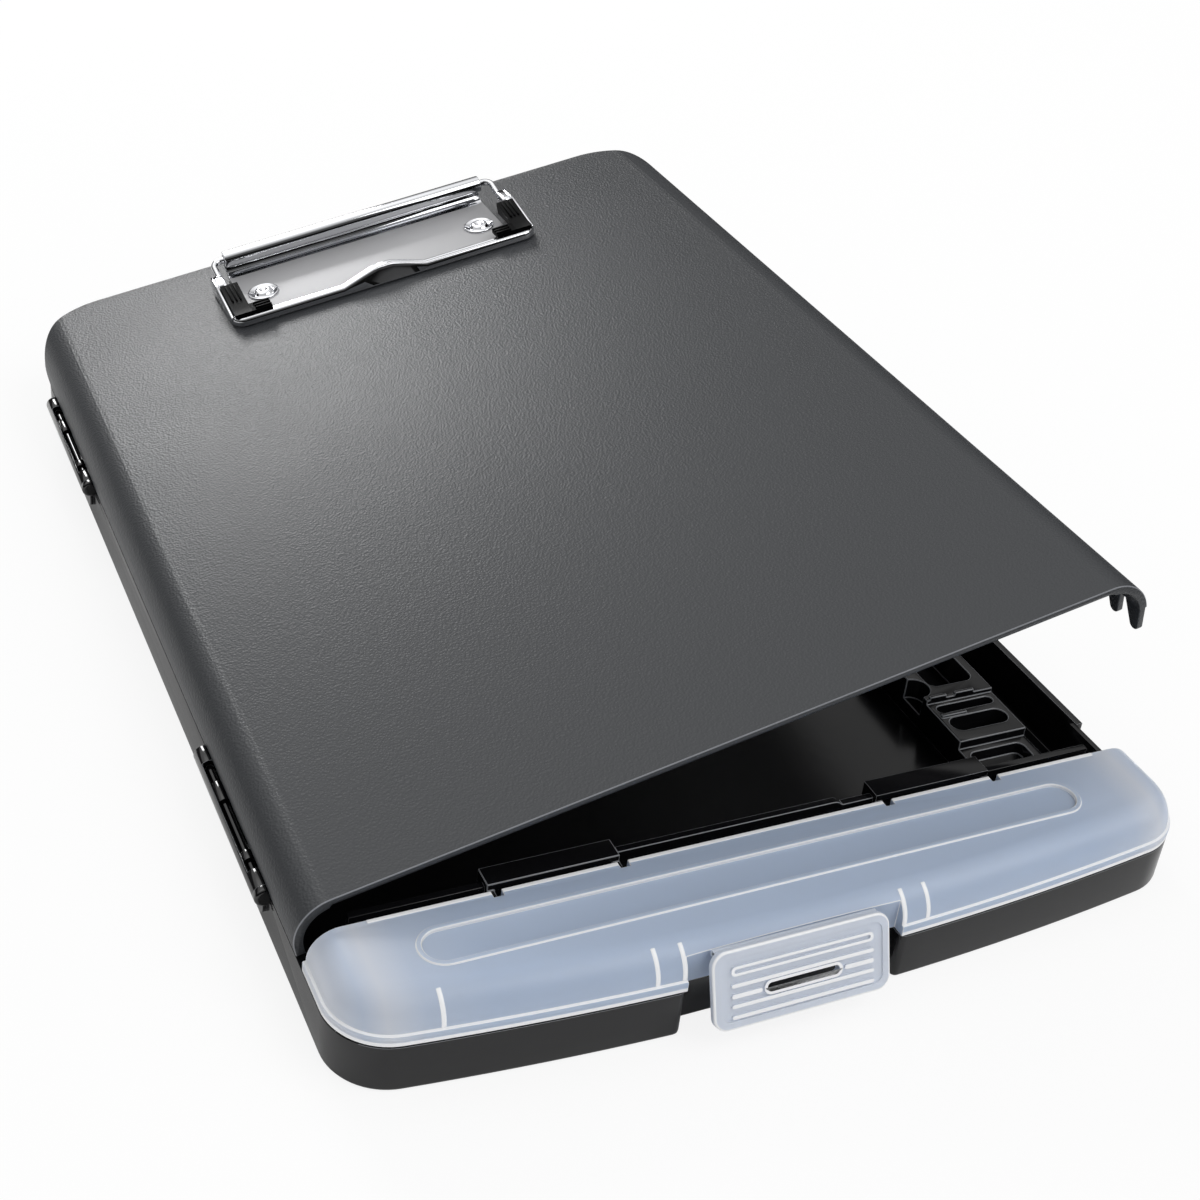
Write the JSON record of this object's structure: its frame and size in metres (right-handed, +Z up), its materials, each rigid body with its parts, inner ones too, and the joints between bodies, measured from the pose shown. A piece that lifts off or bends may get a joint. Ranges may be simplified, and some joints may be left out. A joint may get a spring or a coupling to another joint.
{
  "type": "storage clipboard box",
  "caption": "Shallow storage tray with a hinged clipboard cover, a spring clip, and a frosted lid with a latch tab over a pencil bay.",
  "frame": {"origin": "middle of the tray's footprint on the surface that it rests on", "axes": "+X towards the side that opens, +Y towards the clip, +Z up"},
  "size_m": [0.2541, 0.3827, 0.082],
  "materials": {
    "tray_black": "glossy black moulded plastic",
    "insert_black": "glossy black moulded plastic",
    "hinge_black": "high gloss black plastic",
    "pin_black": "blackened steel pin",
    "pin_steel": "plain steel",
    "cover_grey": "satin charcoal grey with a fine grain",
    "plate_steel": "nickel plated steel",
    "clip_chrome": "bright chrome",
    "pad_black": "black moulded plastic",
    "lid_frosted": "frosted translucent polypropylene",
    "tab_frosted": "frosted translucent polypropylene"
  },
  "bodies": {
    "tray": {"tray_shell": "tray_black", "organizer_insert": "insert_black", "tray_leaf_front": "hinge_black", "tray_leaf_rear": "hinge_black", "hinge_pin_front": "pin_black", "hinge_pin_rear": "pin_black", "hinge_cap_front": "hinge_black", "hinge_cap_rear": "hinge_black", "pivot_block_left": "tray_black", "pivot_block_right": "tray_black", "pivot_pin_left": "pin_steel", "pivot_pin_right": "pin_steel"},
    "cover": {"cover_panel": "cover_grey", "cover_leaf_front": "hinge_black", "cover_leaf_rear": "hinge_black", "clip_base_plate": "plate_steel", "clip_rivets": "clip_chrome", "clip_washers": "pin_steel", "clip_spring": "pin_steel"},
    "jaw": {"jaw_frame": "clip_chrome", "jaw_wire": "clip_chrome", "corner_pad_left": "pad_black", "corner_pad_right": "pad_black"},
    "lid": {"pencil_lid": "lid_frosted"},
    "tab": {"latch_tab": "tab_frosted"}
  },
  "joints": [
    {"name": "cover_hinge", "type": "hinge", "parent": "tray", "child": "cover", "pos_m": [-0.1263, 0, 0.015], "axis": [0, -1, 0], "range_deg": [-12.7, 90]},
    {"name": "jaw_pivot", "type": "hinge", "parent": "cover", "child": "jaw", "pos_m": [-0.00815, 0.172, 0.0652], "axis": [-0.9755, 0, -0.2198], "range_deg": [0, 35], "stiffness_Nm_per_rad": 0.6, "springref_deg": -28.65},
    {"name": "lid_hinge", "type": "hinge", "parent": "tray", "child": "lid", "pos_m": [0, -0.1515, 0.023], "axis": [-1, 0, 0], "range_deg": [0, 90]},
    {"name": "tab_hinge", "type": "hinge", "parent": "lid", "child": "tab", "pos_m": [0, -0.1847, 0.0243], "axis": [-1, 0, 0], "range_deg": [-17, 65], "stiffness_Nm_per_rad": 0.004}
  ]
}
